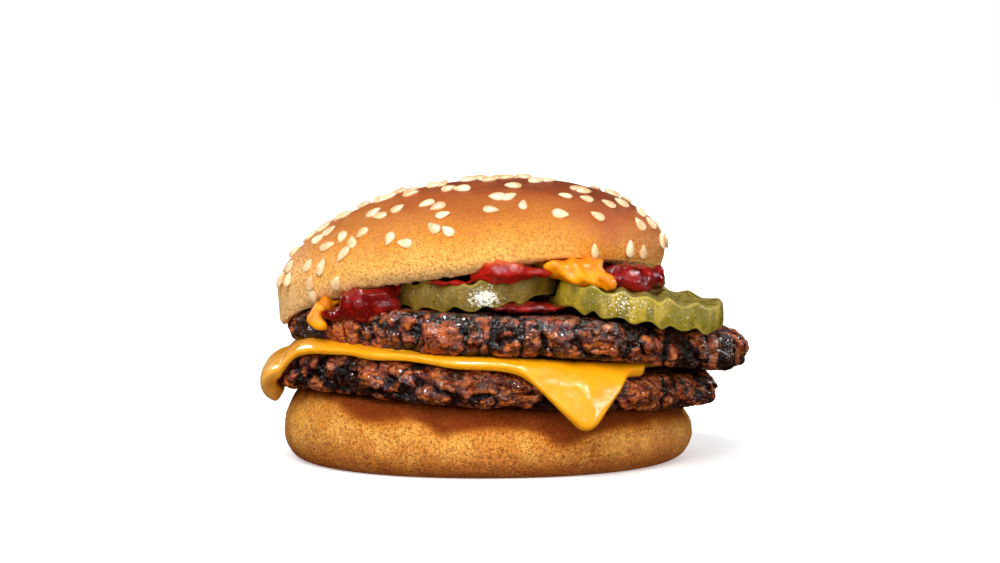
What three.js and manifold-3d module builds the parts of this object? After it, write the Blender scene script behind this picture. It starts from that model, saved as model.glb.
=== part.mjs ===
// A double cheeseburger with a seeded bun. Millimetres, +Z up, origin at the middle of the heel's flat
// underside, +X to the right of someone facing it and -Y towards them. Directions round an upright axis run
// anticlockwise from +X: in degrees where a name says `at` or a table holds them, and otherwise in radians.
import * as THREE from 'three';
import { mergeVertices } from 'three/addons/utils/BufferGeometryUtils.js';
import Module from 'manifold-3d';

// ---------------------------------------------------------------- small maths
const TAU = 2 * Math.PI;
const rad = (degrees) => (degrees * Math.PI) / 180;
const mix = (a, b, t) => a + (b - a) * t;
const past = (value, limit) => Math.max(0, value - limit);
const smooth = (low, high, value) => {
  const t = Math.min(1, Math.max(0, (value - low) / (high - low)));
  return t * t * (3 - 2 * t);
};

// Signed angle from b to a, and a rounded peak of height 1 about a direction, both given in degrees.
const turn = (a, b) => Math.atan2(Math.sin(a - b), Math.cos(a - b));
const hump = (a, at, width, power = 2) => 1 / (1 + Math.abs(turn(a, rad(at)) / rad(width)) ** power);

// ---------------------------------------------------------------- driving dimensions
const GAP = 0.35; // clearance kept between neighbouring solids

const HEEL = {
  radius: 50,
  foot: 44.5, // radius of the flat underside
  bulge: 7, // height of the widest place
  side: [[49.5, 10.5], [48.3, 13.2]], // radius and height, above the widest place
  shoulder: [46.6, 1], // radius, and depth below the top face
  lip: 44, // radius of the top face
};

// How far a place lies into the left end of the lower patty, where it droops and thins.
const droop = (x) => Math.min(11, past(-x, 38));

// outline: radius of the edge. plane: height of the middle plane. half: half the thickness, and the radius
// of the rounded edge. phase: sets the lumps of one patty apart from those of the other. ring: share of the
// way out to the edge at which both faces bend.
const LOWER = {
  x: 2.8,
  phase: 0,
  outline: (a) => 52.6 + 0.9 * Math.sin(3 * a + 0.6) + 0.6 * Math.sin(7 * a + 2) + 2.2 * hump(a, 203, 13),
  plane: (x) => 21.15 - 0.06 * x - 0.002 * past(x, 30) ** 2 - 0.031 * droop(x) ** 2,
  half: (x) => 4.5 - 0.008 * x - 0.018 * droop(x) ** 2,
  ring: 0.8,
};
const UPPER = {
  x: 7.5,
  phase: 1.7,
  outline: (a) => 55.2 + 0.7 * Math.sin(4 * a + 1.1) + 0.6 * Math.sin(9 * a) + 1.2 * hump(a, 352, 12),
  plane: (x) => 33.6 - 0.03 * x - 0.0026 * past(x, 12) ** 2 - 0.0102 * past(-x, 31) ** 2,
  half: (x) => 4.5 - 0.1 * past(-x, 32.5),
  ring: 0.6,
};
const CRAG = 0.9; // relief of the minced meat at a patty's edge

// A corner's drop is how far it hangs below the slice. Its flanks are the half widths in degrees, and how
// steep they are, on its clockwise and on its anticlockwise side.
const CHEESE = {
  thick: 2.5,
  lift: 0.6, // height above the patty's top face
  tucked: 47, // radius of the slice at the right, where it ends between the patties
  bend: 5.2, // radius of the bend over the patty's edge
  clear: 2.9, // from the patty's outline to the hanging cheese
  fall: 76, // how far below level a corner hangs, in degrees
  sag: (a) => 0.8 + 0.45 * Math.cos(7 * (a - rad(270))), // how far its edge hangs between the corners
  corners: [
    { at: 290.8, drop: 11, flanks: [[8.9, 2.6], [6.6, 3.3]] },
    { at: 192, drop: 7.2, flanks: [[18, 2], [8, 6]] },
    { at: 98, drop: 7.5, flanks: [[13, 2.4], [11, 2.6]] },
  ],
};

// plane: height of a slice's middle. wave and pitch: depth and spacing of the crinkle cut.
const LEFT_SLICE = {
  x: -2.2,
  y: -24.8,
  radius: 20.1,
  thick: 5.2,
  wave: 0.7,
  pitch: 6.25,
  plane: (x, y) => 43.2 + 0.0045 * past(x, -12) ** 2 + 0.02 * y,
};
const RIGHT_SLICE = {
  x: 35.2,
  y: -29,
  radius: 20.4,
  thick: 6.1,
  wave: 0.7,
  pitch: 5.85,
  plane: (x, y) => 43.3 - 0.17 * past(x, 20) + 0.03 * y,
};

const CROWN = {
  x: -4.3,
  radius: 47,
  apexX: 4,
  apexZ: 68.2,
  rim: [45, 43.8, 42, 41, 39.8, 36.6, 32.3, 37.8, 43.7, 47.1, 50.3, 47.8], // height every 30 degrees
  waist: (a) => 46.9 + 2.5 * Math.cos(a) - 2.2 * Math.sin(a) - 1.9 * Math.cos(2 * a), // widest place
  inset: (a) => 4.5 - 2.7 * hump(a, 180, 30, 4), // how far the lower edge lies inside the widest place
};
const SEED = { count: 58, length: 3.8, width: 2.15, thick: 1.5, rise: 0.18, start: 11 };

// Under the crown lie a gap, ketchup, a gap, mustard and a gap, each of the same thickness.
const FILLING = {
  layers: 5,
  layer: 1,
  floor: 38, // lowest height
  ramp: 0.8, // how steeply the sauces fall away from a slice's edge
  rings: [0.45, 0.79, 0.92, 1], // shares of the crown's lower edge
  sauced: 2, // how many of those rings the sauces reach, apart from their lobes
};

// Lobes of sauce pressed out past the crown. out and z: middle. dip: how far the outer end tips down, in
// degrees. size: half extents outward, along the edge and upward.
const KETCHUP_LOBES = [
  { at: 236, out: 38.5, z: 43.2, dip: 20, size: [12.5, 8, 3.2] },
  { at: 281, out: 39, z: 48.6, dip: 8, size: [11, 8, 3] },
  { at: 332, out: 36, z: 46.4, dip: 10, size: [10, 11, 3.5] },
];
const MUSTARD_LOBES = [
  { at: 221.5, out: 36, z: 43, dip: 27, size: [14.5, 2.8, 3.6] },
  { at: 305, out: 37, z: 50, dip: 14, size: [12.5, 9, 4] },
];

const SPOKES = { heel: 48, patty: 68, cheese: 54, crown: 48 };
const EGG_SIDES = [9, 6];
const SEED_SIDES = [6, 3];

// ---------------------------------------------------------------- rings and solids
const azimuths = (count, offset = 0) =>
  Array.from({ length: count }, (_, i) => ((i + offset) / count) * TAU);

// Smooth closed curve through values spaced evenly round the circle.
function aroundCircle(values, angle) {
  const share = (((angle / TAU) % 1) + 1) % 1;
  const i = Math.floor(share * values.length);
  const t = share * values.length - i;
  const [a, b, c, d] = [-1, 0, 1, 2].map((k) => values[(i + k + values.length) % values.length]);
  return b + 0.5 * t * (c - a + t * (2 * a - 5 * b + 4 * c - d + t * (3 * (b - c) + d - a)));
}

// rings: lists of equally many points from one pole to the other, the poles single points. From ring `back`
// on they run inward again, and their quads split the other way, so that faces above each other match.
function solid(firstPole, rings, lastPole, back = Infinity) {
  const n = rings[0].length;
  const points = [firstPole, ...rings.flat(), lastPole];
  const last = points.length - 1;
  const at = (ring, i) => 1 + ring * n + (i % n);
  const faces = [];
  for (let i = 0; i < n; i++) {
    faces.push([0, at(0, i + 1), at(0, i)]);
    faces.push([last, at(rings.length - 1, i), at(rings.length - 1, i + 1)]);
    for (let k = 0; k + 1 < rings.length; k++) {
      const [a, b, c, d] = [at(k, i), at(k, i + 1), at(k + 1, i + 1), at(k + 1, i)];
      faces.push(...(k < back ? [[a, b, c], [a, c, d]] : [[a, b, d], [b, c, d]]));
    }
  }
  const geometry = new THREE.BufferGeometry();
  geometry.setAttribute('position', new THREE.Float32BufferAttribute(points.flat(), 3));
  geometry.setIndex(faces.flat());
  return geometry;
}

// ---------------------------------------------------------------- patties
const topOf = (meat, x) => meat.plane(x) + meat.half(x);
const bottomOf = (meat, x) => meat.plane(x) - meat.half(x);

// Lumps of minced meat, between about -2 and 2, at a direction and at a lift round the edge.
function crags(a, lift, phase) {
  const broad = Math.sin(13 * a + 2 * lift + phase) + Math.sin(21 * a - 3 * lift + 2 * phase + 1);
  return 0.5 * broad + 0.45 * Math.sin(34 * a + 5 * lift + 3 * phase) + 0.3 * Math.sin(5 * a + 4 * lift);
}

function patty(meat) {
  const ring = (degrees, share = 1) =>
    azimuths(SPOKES.patty).map((a) => {
      const lift = rad(degrees);
      const edge = meat.half(meat.x + meat.outline(a) * Math.cos(a));
      const bump = CRAG * crags(a, lift, meat.phase) * Math.cos(lift);
      const r = (meat.outline(a) - edge) * share + (edge + bump) * Math.cos(lift);
      const x = meat.x + r * Math.cos(a);
      return [x, r * Math.sin(a), meat.plane(x) + (meat.half(x) + 0.35 * bump) * Math.sin(lift)];
    });
  const edges = [-90, -60, -36, -12, 12, 36, 60, 90].map((degrees) => ring(degrees));
  const rings = [ring(-90, meat.ring), ...edges, ring(90, meat.ring)];
  return solid([meat.x, 0, bottomOf(meat, meat.x)], rings, [meat.x, 0, topOf(meat, meat.x)]);
}

// ---------------------------------------------------------------- heel
function heel() {
  const top = (x) => bottomOf(LOWER, x) - GAP;
  const wave = (a) => 1 + 0.006 * Math.sin(3 * a + 1) + 0.004 * Math.sin(5 * a);
  const ring = (r, height) =>
    azimuths(SPOKES.heel).map((a) => {
      const x = r * wave(a) * Math.cos(a);
      return [x, r * wave(a) * Math.sin(a), height(x)];
    });
  const reach = HEEL.radius - HEEL.foot;
  const foot = [0, 30, 60, 90].map((degrees) => {
    const lift = rad(degrees);
    return [HEEL.foot + reach * Math.sin(lift), HEEL.bulge * (1 - Math.cos(lift))];
  });
  // The side follows the slope of the top face more and more from the foot to the shoulder.
  const shoulder = HEEL.side.at(-1)[1];
  const side = ([r, z]) => ring(r, (x) => z * (1 + (top(x) / top(0) - 1) * (z / shoulder)));
  const rings = [
    ring(HEEL.foot / 2, () => 0),
    ...[...foot, ...HEEL.side].map(side),
    ring(HEEL.shoulder[0], (x) => top(x) - HEEL.shoulder[1]),
    ring(HEEL.lip, top),
    ring(HEEL.lip / 2, top),
  ];
  return solid([0, 0, 0], rings, [0, 0, top(0)]);
}

// ---------------------------------------------------------------- cheese
// Height from 0 to 1 of a corner's hanging part at a direction.
function cornerShare(a, { at, flanks }) {
  const [width, power] = flanks[turn(a, rad(at)) < 0 ? 0 : 1];
  return hump(a, at, width, power);
}

// Radius of the slice before it was draped: the further it hangs, the longer it is.
function sliceRadius(a) {
  const fall = rad(CHEESE.fall);
  const curved = CHEESE.bend * (1 - Math.cos(fall));
  const drop = CHEESE.corners.reduce((sum, c) => sum + c.drop * cornerShare(a, c), CHEESE.sag(a));
  const bent = CHEESE.bend * Math.acos(1 - Math.min(drop, curved) / CHEESE.bend);
  const hanging = LOWER.outline(a) + CHEESE.clear - CHEESE.bend + bent + past(drop, curved) / Math.sin(fall);
  return mix(CHEESE.tucked, hanging, smooth(40, 52, Math.abs(turn(a, 0)) / rad(1)));
}

// A point of the draped slice: how far from its middle it is when flat, and how far above its lower face.
function drapedPoint(a, flat, above) {
  const fall = rad(CHEESE.fall);
  const start = LOWER.outline(a) + CHEESE.clear - CHEESE.bend;
  const bend = Math.min(fall, past(flat, start) / CHEESE.bend);
  const hang = past(flat, start + CHEESE.bend * fall);
  const r = Math.min(flat, start) + (CHEESE.bend + above) * Math.sin(bend) + hang * Math.cos(fall);
  const x = LOWER.x + r * Math.cos(a);
  const drop = CHEESE.bend * (1 - Math.cos(bend)) + hang * Math.sin(fall);
  return [x, r * Math.sin(a), topOf(LOWER, x) + CHEESE.lift - drop + above * Math.cos(bend)];
}

// Directions that crowd together near the corners.
function cheeseSpokes() {
  const crowd = (a) => 1 + 2.6 * Math.max(...CHEESE.corners.map((c) => (c.drop / 11) * hump(a, c.at, 9)));
  const fine = azimuths(2400);
  const total = fine.reduce((sum, a) => sum + crowd(a), 0);
  const spokes = [];
  let run = 0;
  for (const a of fine) {
    if (run >= (spokes.length * total) / SPOKES.cheese) spokes.push(a);
    run += crowd(a);
  }
  return spokes;
}

function cheese() {
  const spokes = cheeseSpokes();
  // Where both patties hold the slice, it is squeezed to the room between them.
  const thickness = (a, share) => {
    const flat = sliceRadius(a) * share;
    const x = LOWER.x + flat * Math.cos(a);
    const room = bottomOf(UPPER, x) - topOf(LOWER, x) - CHEESE.lift - 2 * GAP;
    return flat < HEEL.radius ? Math.min(CHEESE.thick, room) : CHEESE.thick;
  };
  const lower = (share) => spokes.map((a) => drapedPoint(a, sliceRadius(a) * share, 0));
  const upper = (share) =>
    spokes.map((a) => {
      const thick = Math.min(thickness(a, share), thickness(a, share * 0.9));
      return drapedPoint(a, sliceRadius(a) * share, thick);
    });
  const shares = [0.45, 0.74, 0.82, 0.88, 0.94, 0.99];
  const rings = [
    ...shares.map(lower),
    spokes.map((a) => drapedPoint(a, sliceRadius(a) + 0.7, thickness(a, 0.95) / 2)),
    ...shares.map(upper).reverse(),
  ];
  const rest = topOf(LOWER, LOWER.x) + CHEESE.lift;
  return solid([LOWER.x, 0, rest], rings, [LOWER.x, 0, rest + CHEESE.thick]);
}

// ---------------------------------------------------------------- crinkle-cut pickle slices
// Height of a slice's upper or lower face, with sign 1 or -1.
function pickleFace(slice, sign, x, y) {
  const crinkle = slice.wave * Math.sin((TAU * (x - slice.x)) / slice.pitch);
  const height = slice.plane(x, y) + crinkle + (sign * slice.thick) / 2;
  if (slice === LEFT_SLICE || sign < 0) return height;
  // The right slice is pressed down where the left one lies on it.
  const edge = LEFT_SLICE.radius + 3.5;
  const over = past(edge, Math.hypot(x - LEFT_SLICE.x, y - LEFT_SLICE.y));
  const under = LEFT_SLICE.plane(x, y) - LEFT_SLICE.wave - LEFT_SLICE.thick / 2 - GAP;
  return Math.min(height, mix(height, under, smooth(0, 2.4, over)));
}

// Loops across the slice, closer together at its two ends, with four points on each face.
function pickle(slice) {
  const middle = (x, y) => [x, y, (pickleFace(slice, 1, x, y) + pickleFace(slice, -1, x, y)) / 2];
  const loop = (dx) => {
    const x = slice.x + dx;
    const reach = Math.sqrt(slice.radius ** 2 - dx ** 2);
    const face = (sign) =>
      [-1, -0.4, 0.4, 1].map((share) => {
        const y = slice.y + reach * share * 0.985;
        return [x, y, pickleFace(slice, sign, x, y)];
      });
    const under = face(-1).reverse();
    return [...face(1), middle(x, slice.y + reach), ...under, middle(x, slice.y - reach)].reverse();
  };
  const steps = Math.round((10 * slice.radius) / slice.pitch);
  const station = (i) => mix(-1 + (2 * i) / steps, Math.sin(Math.PI * (i / steps - 0.5)), 0.25);
  const loops = Array.from({ length: steps - 1 }, (_, i) => loop(slice.radius * station(i + 1)));
  return solid(middle(slice.x - slice.radius, slice.y), loops, middle(slice.x + slice.radius, slice.y));
}

// ---------------------------------------------------------------- what the crown rests on
// Top face of the upper patty, a little wider than it is, or -Infinity outside it.
function meatTop(x, y) {
  const edge = UPPER.half(x);
  const out = past(Math.hypot(x - UPPER.x, y), UPPER.outline(Math.atan2(y, x - UPPER.x)) + 1.2 - edge);
  return out < edge ? UPPER.plane(x) + Math.sqrt(edge * edge - out * out) : -Infinity;
}

function sliceTop(slice, x, y) {
  const away = past(Math.hypot(x - slice.x, y - slice.y), slice.radius + 0.3);
  return slice.plane(x, y) + slice.wave + slice.thick / 2 - FILLING.ramp * away;
}

const support = (x, y) => Math.max(meatTop(x, y), sliceTop(LEFT_SLICE, x, y), sliceTop(RIGHT_SLICE, x, y));

// The highest support within reach of a place, so that a flat facet of that size clears it.
function bed(x, y, reach) {
  const around = (share) =>
    azimuths(16).map((a) => support(x + share * reach * Math.cos(a), y + share * reach * Math.sin(a)));
  return Math.max(support(x, y), ...around(0.5), ...around(1));
}

// ---------------------------------------------------------------- crown
const rimZ = (a) => aroundCircle(CROWN.rim, a);

// A point on the filling's face above so many layers, at a share of the way out to the crown's lower edge.
function fillingPoint(a, share, layers) {
  const r = (CROWN.radius - CROWN.inset(a)) * share;
  const [x, y] = [CROWN.x + r * Math.cos(a), r * Math.sin(a)];
  const facet = mix(6, 2.4, smooth(0.35, 0.95, share));
  const floor = Math.max(FILLING.floor, bed(x, y, facet));
  const open = mix(floor + FILLING.layers * FILLING.layer, rimZ(a), smooth(0.75, 1, share));
  const room = Math.max(GAP, open - floor);
  return [x, y, floor + (room * layers) / FILLING.layers];
}

function domePoint(a, height) {
  const r = CROWN.radius * Math.cos(height);
  const lift = Math.sin(height);
  const x = mix(CROWN.x, CROWN.apexX, lift) + r * Math.cos(a);
  return new THREE.Vector3(x, r * Math.sin(a), mix(CROWN.waist(a), CROWN.apexZ, lift));
}

function domeNormal(a, height) {
  const step = 0.01;
  const across = domePoint(a + step, height).sub(domePoint(a - step, height));
  const upward = domePoint(a, height + step).sub(domePoint(a, height - step));
  return across.cross(upward).normalize();
}

function crownShell() {
  const spokes = azimuths(SPOKES.crown, 0.5);
  const below = (share) => spokes.map((a) => fillingPoint(a, share, FILLING.layers));
  const rounded = (degrees) =>
    spokes.map((a) => {
      const turned = rad(degrees);
      const r = CROWN.radius - CROWN.inset(a) * (1 - Math.cos(turned));
      return [CROWN.x + r * Math.cos(a), r * Math.sin(a), mix(CROWN.waist(a), rimZ(a), Math.sin(turned))];
    });
  const dome = (degrees) => spokes.map((a) => domePoint(a, rad(degrees)).toArray());
  const rings = [
    ...FILLING.rings.map(below),
    ...[66, 33].map(rounded),
    ...[0, 12, 24, 36, 49, 62, 75].map(dome),
  ];
  return solid(fillingPoint(0, 0, FILLING.layers), rings, [CROWN.apexX, 0, CROWN.apexZ]);
}

// ---------------------------------------------------------------- sesame seeds
// Random numbers between 0 and 1, the same ones on every run.
function draws(start) {
  let state = start;
  return () => {
    state = (state + 0x6d2b79f5) | 0;
    let t = Math.imul(state ^ (state >>> 15), 1 | state);
    t = (t + Math.imul(t ^ (t >>> 7), 61 | t)) ^ t;
    return ((t ^ (t >>> 14)) >>> 0) / 2 ** 32;
  };
}

// An egg-shaped drop lying on the crust, its pointed end roughly along the heading.
function seed(place, normal, heading, scale) {
  const drop = new THREE.SphereGeometry(1, ...SEED_SIDES);
  drop.rotateX(Math.PI / 2);
  const spot = drop.getAttribute('position');
  for (let i = 0; i < spot.count; i++) spot.setY(i, spot.getY(i) * (1 - 0.32 * spot.getX(i)));
  drop.scale((scale * SEED.length) / 2, (scale * SEED.width) / 2, (scale * SEED.thick) / 2);
  const side = heading.clone().cross(normal).normalize();
  const frame = new THREE.Matrix4().makeBasis(side.clone().cross(normal), side, normal);
  drop.applyMatrix4(frame.setPosition(place));
  return drop;
}

// Seeds wind outward from the top in a golden-angle spiral, thinning out low on the front and the right.
function seeds() {
  const draw = draws(SEED.start);
  return Array.from({ length: SEED.count }, (_, i) => {
    const a = i * 2.39996 + 0.5 * (draw() - 0.5);
    const lowest = 12 + 22 * hump(a, 285, 45, 4) + 6 * hump(a, 0, 40, 4);
    const height = rad(mix(88, lowest, Math.sqrt((i + 0.4) / SEED.count)) + 4 * (draw() - 0.5));
    const normal = domeNormal(a, height);
    const heading = new THREE.Vector3(draw() - 0.5, draw() - 0.5, draw() - 0.5);
    const place = domePoint(a, height).addScaledVector(normal, SEED.rise);
    return seed(place, normal, heading, 0.9 + 0.2 * draw());
  });
}

// ---------------------------------------------------------------- joins and cuts
const wasm = await Module();
wasm.setup();

function toManifold(geometry) {
  geometry.deleteAttribute('normal');
  geometry.deleteAttribute('uv');
  const merged = mergeVertices(geometry, 1e-4);
  const vertProperties = new Float32Array(merged.getAttribute('position').array);
  const triVerts = new Uint32Array(merged.getIndex().array);
  return new wasm.Manifold(new wasm.Mesh({ numProp: 3, vertProperties, triVerts }));
}

function toGeometry(body) {
  const { vertProperties, triVerts } = body.getMesh();
  const geometry = new THREE.BufferGeometry();
  geometry.setAttribute('position', new THREE.Float32BufferAttribute(vertProperties, 3));
  geometry.setIndex(Array.from(triVerts));
  return geometry;
}

// ---------------------------------------------------------------- sauces
// The part of a sauce that lies under the crown, between two faces of the filling.
function slab(low, high) {
  const spokes = azimuths(SPOKES.crown, 0.5);
  const shares = FILLING.rings.slice(0, FILLING.sauced);
  const sheet = (layers) => shares.map((share) => spokes.map((a) => fillingPoint(a, share, layers)));
  const rings = [...sheet(low), ...sheet(high).reverse()];
  return toManifold(solid(fillingPoint(0, 0, low), rings, fillingPoint(0, 0, high), FILLING.sauced));
}

// A lobe is an egg cut to fit what lies over and under it, also as moved by the gap in each direction.
function lobe({ at, out, z, dip, size }, over, under) {
  const a = rad(at);
  const egg = new THREE.SphereGeometry(1, ...EGG_SIDES);
  egg.rotateX(Math.PI / 2);
  egg.scale(...size);
  egg.rotateY(rad(dip));
  egg.rotateZ(a);
  egg.translate(CROWN.x + out * Math.cos(a), out * Math.sin(a), z);
  const [c, s] = [GAP * Math.cos(a), GAP * Math.sin(a)];
  const moved = (body, rise) =>
    [[0, 0, 0], [0, 0, rise], [c, s, 0], [-s, c, 0], [s, -c, 0]].map((step) => body.translate(step));
  const above = over.flatMap((body) => moved(body, -GAP));
  const cutters = [...above, ...under.flatMap((body) => moved(body, GAP))];
  return cutters.reduce((body, cutter) => body.subtract(cutter), toManifold(egg));
}

// Lobes and slab in one piece, without the loose scraps that the cuts leave.
function squeezed(layer, lobes, over, under) {
  const joined = lobes.reduce((body, spec) => body.add(lobe(spec, over, under)), layer);
  return joined.decompose().sort((a, b) => b.volume() - a.volume())[0];
}

// ---------------------------------------------------------------- the burger
function mesh(name, geometry, color, roughness) {
  geometry.computeVertexNormals();
  const material = new THREE.MeshStandardMaterial({ color, roughness, metalness: 0 });
  const made = new THREE.Mesh(geometry, material);
  made.name = name;
  return made;
}

const [pattyUpper, pickleLeft, pickleRight] = [patty(UPPER), pickle(LEFT_SLICE), pickle(RIGHT_SLICE)];
const crown = seeds().reduce((body, drop) => body.add(toManifold(drop)), toManifold(crownShell()));
const below = [pattyUpper, pickleLeft, pickleRight].map((geometry) => toManifold(geometry.clone()));
const mustardSlab = slab(3, 4);
const ketchup = squeezed(slab(1, 2), KETCHUP_LOBES, [crown, mustardSlab], below);
const mustard = squeezed(mustardSlab, MUSTARD_LOBES, [crown], [ketchup, ...below]);

const burger = new THREE.Group();
burger.add(
  mesh('bun_heel', heel(), 0xc98a3f, 0.75),
  mesh('patty_lower', patty(LOWER), 0x4a2417, 0.5),
  mesh('cheese_slice', cheese(), 0xfbb016, 0.35),
  mesh('patty_upper', pattyUpper, 0x5a2b1b, 0.5),
  mesh('pickle_left', pickleLeft, 0x6f6a1c, 0.3),
  mesh('pickle_right', pickleRight, 0x8a8a26, 0.3),
  mesh('ketchup', toGeometry(ketchup), 0xa01008, 0.2),
  mesh('mustard', toGeometry(mustard), 0xf6b40c, 0.35),
  mesh('bun_crown', toGeometry(crown), 0xd0812e, 0.45),
);

export default burger;
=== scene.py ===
"""Dresses a double cheeseburger: bread, minced meat, melted cheese, crinkle-cut pickles, sauces and seeds.

Lengths are millimetres, and metres in properties, shaders and Blender's own data. +Z is up and the front
faces -Y. Directions round an upright axis run anticlockwise from +X.
"""

import math
from itertools import product

import bmesh
import bpy
import numpy as np
from bpy.props import FloatProperty, FloatVectorProperty, IntProperty, PointerProperty
from mathutils import Matrix, Vector


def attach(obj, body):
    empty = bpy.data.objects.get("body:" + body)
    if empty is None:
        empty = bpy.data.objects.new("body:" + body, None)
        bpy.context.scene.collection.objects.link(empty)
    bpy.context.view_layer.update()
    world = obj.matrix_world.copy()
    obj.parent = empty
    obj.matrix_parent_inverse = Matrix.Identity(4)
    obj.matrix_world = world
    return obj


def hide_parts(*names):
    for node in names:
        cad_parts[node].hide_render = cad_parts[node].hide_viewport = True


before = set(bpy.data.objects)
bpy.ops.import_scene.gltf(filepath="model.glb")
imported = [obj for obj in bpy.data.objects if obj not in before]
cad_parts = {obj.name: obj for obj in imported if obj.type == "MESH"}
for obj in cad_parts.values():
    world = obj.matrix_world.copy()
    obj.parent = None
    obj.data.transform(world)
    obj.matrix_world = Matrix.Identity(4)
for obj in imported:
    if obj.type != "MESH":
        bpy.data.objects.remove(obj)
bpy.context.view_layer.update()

bl_info = {
    "name": "Double Cheeseburger",
    "version": (1, 0, 0),
    "blender": (4, 5, 0),
    "location": "View3D > Sidebar > Burger",
    "description": "Builds a double cheeseburger and a studio around it",
    "category": "Add Mesh",
}

MM = 0.001
TAU = 2 * math.pi
DOWN = Vector((0, 0, -1))
BODY = "root"


# --- small maths
def rgb(text):
    """Linear colour from a web colour such as 'c98a3f'."""
    shares = (int(text[i : i + 2], 16) / 255 for i in (0, 2, 4))
    return tuple(s / 12.92 if s <= 0.04045 else ((s + 0.055) / 1.055) ** 2.4 for s in shares)


def mix(a, b, t):
    return a + (b - a) * t


def past(value, limit):
    return np.maximum(0, value - limit)


def smooth(low, high, value):
    t = np.clip((value - low) / (high - low), 0, 1)
    return t * t * (3 - 2 * t)


def turn(a, b):
    """Signed angle from b to a."""
    return np.arctan2(np.sin(a - b), np.cos(a - b))


def hump(a, at, width, power=2):
    """Rounded peak of height 1 about a direction given in degrees."""
    return 1 / (1 + np.abs(turn(a, np.radians(at)) / np.radians(width)) ** power)


def curve(values, place, closed=False):
    """Smooth curve through evenly spaced values, at places from 0 to 1 along it."""
    values = np.asarray(values, float)
    count = len(values) if closed else len(values) - 1
    along = np.asarray(place) % 1 * count if closed else np.clip(place, 0, 1) * count
    i = np.minimum(np.floor(along).astype(int), count - 1)
    t = (along - i).reshape(along.shape + (1,) * (values.ndim - 1))
    picks = [i + k for k in (-1, 0, 1, 2)]
    picks = [p % count if closed else np.clip(p, 0, count) for p in picks]
    a, b, c, d = (values[p] for p in picks)
    return b + 0.5 * t * (c - a + t * (2 * a - 5 * b + 4 * c - d + t * (3 * (b - c) + d - a)))


def circle(count):
    return np.arange(count) / count * TAU


def xyz(x, y, z):
    """Points from coordinates that spread over one another."""
    return np.stack(np.broadcast_arrays(x, y, z), axis=-1)


# --- random relief
def scramble(cells, seed):
    """A repeatable random number from 0 to 1 for each cell of a grid."""
    primes = np.array([73856093, 19349663, 83492791], np.int64)
    mixed = cells.astype(np.int64) * primes
    h = (mixed[..., 0] ^ mixed[..., 1] ^ mixed[..., 2] ^ (seed * 668265263)).astype(np.uint32)
    for shift, factor in ((16, 0x7FEB352D), (15, 0x846CA68B)):
        h = (h ^ (h >> np.uint32(shift))) * np.uint32(factor)
    return (h ^ (h >> np.uint32(16))) / 2**32


def ripple(points, size, seed):
    """Smooth random relief from -1 to 1, with bumps about so many millimetres apart."""
    place = points / size
    cells = np.floor(place)
    t = place - cells
    t = t * t * (3 - 2 * t)
    total = 0
    for corner in product((0, 1), repeat=3):
        weight = np.prod(np.where(corner, t, 1 - t), axis=-1)
        total = total + weight * scramble(cells + corner, seed)
    return 2 * total - 1


def grains(points, size, seed):
    """Distance, in grain sizes, to the nearest of scattered grains."""
    place = points / size
    cells = np.floor(place)
    nearest = np.inf
    for step in product((-1, 0, 1), repeat=3):
        cell = cells + step
        centre = cell + xyz(*(scramble(cell, seed + k) for k in (1, 2, 3)))
        nearest = np.minimum(nearest, np.linalg.norm(place - centre, axis=-1))
    return nearest


def warped(points, size, depth, seed):
    """Points pushed about at random, so that what is drawn with them is uneven."""
    return points + depth * xyz(*(ripple(points, size, seed + k) for k in (11, 12, 13)))


# --- meshes
def facing(rings):
    """Outward directions at the points of rings that run from bottom to top."""
    along = np.roll(rings, -1, axis=1) - np.roll(rings, 1, axis=1)
    up = np.gradient(rings, axis=0)
    across = np.cross(along, up)
    return across / np.maximum(np.linalg.norm(across, axis=-1, keepdims=True), 1e-9)


def put(name, data):
    """A new object in the scene."""
    made = bpy.data.objects.new(name, data)
    bpy.context.scene.collection.objects.link(made)
    return made


def add_piece(name, mesh, nodes, material):
    """Puts a finished mesh into the scene in place of the solids that it stands for."""
    mesh.polygons.foreach_set("use_smooth", [True] * len(mesh.polygons))
    mesh.materials.append(material)
    piece = put(name, mesh)
    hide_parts(*nodes)
    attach(piece, BODY)


def closed_faces(rows, spokes):
    """Faces over rings of points, which a bottom pole and a top one follow."""
    here = np.arange(rows * spokes).reshape(rows, spokes)
    beside = np.roll(here, -1, axis=1)
    quads = np.stack([here[:-1], beside[:-1], beside[1:], here[1:]], axis=-1).reshape(-1, 4)
    floor = [(rows * spokes, b, a) for a, b in zip(here[0].tolist(), beside[0].tolist())]
    roof = [(rows * spokes + 1, a, b) for a, b in zip(here[-1].tolist(), beside[-1].tolist())]
    return quads.tolist() + floor + roof


def skin(name, rings, slot, nodes, material, **marks):
    """A closed piece from rings that run from bottom pole to top pole, with named numbers at its points."""
    rows, spokes = rings.shape[:2]
    points = np.concatenate([rings.reshape(-1, 3), rings[0].mean(0)[None], rings[-1].mean(0)[None]])
    mesh = bpy.data.meshes.new(name)
    mesh.from_pydata((points * MM).tolist(), [], closed_faces(rows, spokes))
    for key, values in marks.items():
        values = np.broadcast_to(values, (rows, spokes))
        ends = [values[0].mean(), values[-1].mean()]
        data = mesh.attributes.new(key, "FLOAT", "POINT").data
        data.foreach_set("value", np.concatenate([values.ravel(), ends]).astype(np.float32))
    add_piece(name, mesh, nodes, material)


# --- materials
class Socket:
    """A node's output, for arithmetic that adds Math nodes."""

    def __init__(self, shader, output):
        self.shader = shader
        self.output = output

    def _math(self, operation, *values):
        return self.shader.node("Math", dict(enumerate(values)), operation=operation)

    def __add__(self, other):
        return self._math("ADD", self, other)

    def __sub__(self, other):
        return self._math("SUBTRACT", self, other)

    def __rsub__(self, other):
        return self._math("SUBTRACT", other, self)

    def __mul__(self, other):
        return self._math("MULTIPLY", self, other)

    __radd__ = __add__
    __rmul__ = __mul__


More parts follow.
